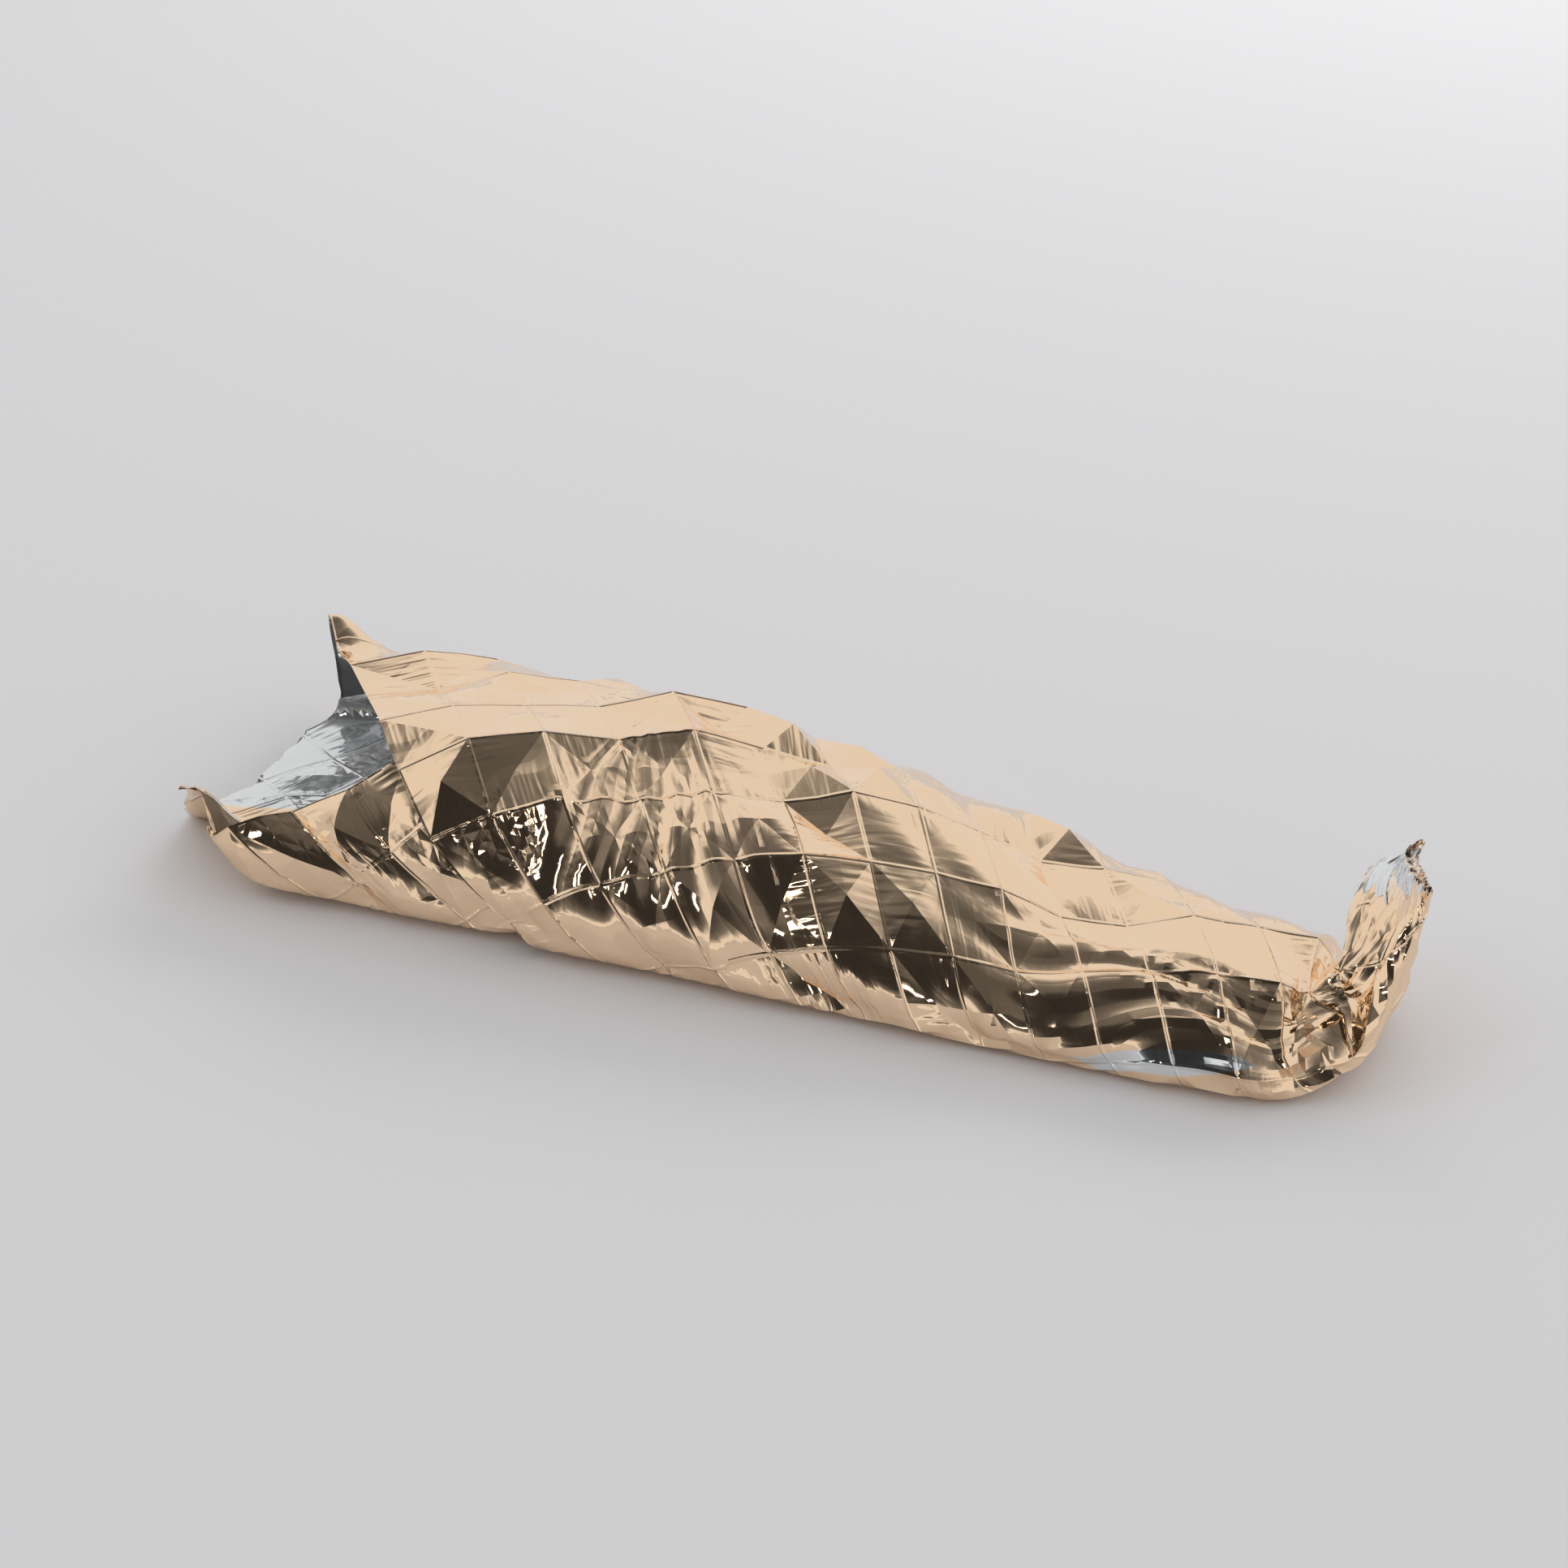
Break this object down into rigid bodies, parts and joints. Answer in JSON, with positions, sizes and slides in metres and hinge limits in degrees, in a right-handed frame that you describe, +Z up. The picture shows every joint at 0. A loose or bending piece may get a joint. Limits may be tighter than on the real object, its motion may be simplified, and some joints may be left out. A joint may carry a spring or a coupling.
{
  "type": "emergency foil blanket",
  "caption": "Thin metallised film sheet, wrapped over on itself and lying flat underneath, with a pointed collar, an open neck and a turned-up foot end.",
  "frame": {"origin": "centre of the bounding box's bottom face, on the surface that the blanket lies on", "axes": "+X from the head corner to the foot end, -Y towards the near side, +Z up"},
  "size_m": [1.5752, 0.5188, 0.2134],
  "materials": {
    "gold_film": "crinkled mirror film, pale gold outside and silver inside"
  },
  "bodies": {
    "root": {"foil_film": "gold_film"}
  },
  "joints": []
}
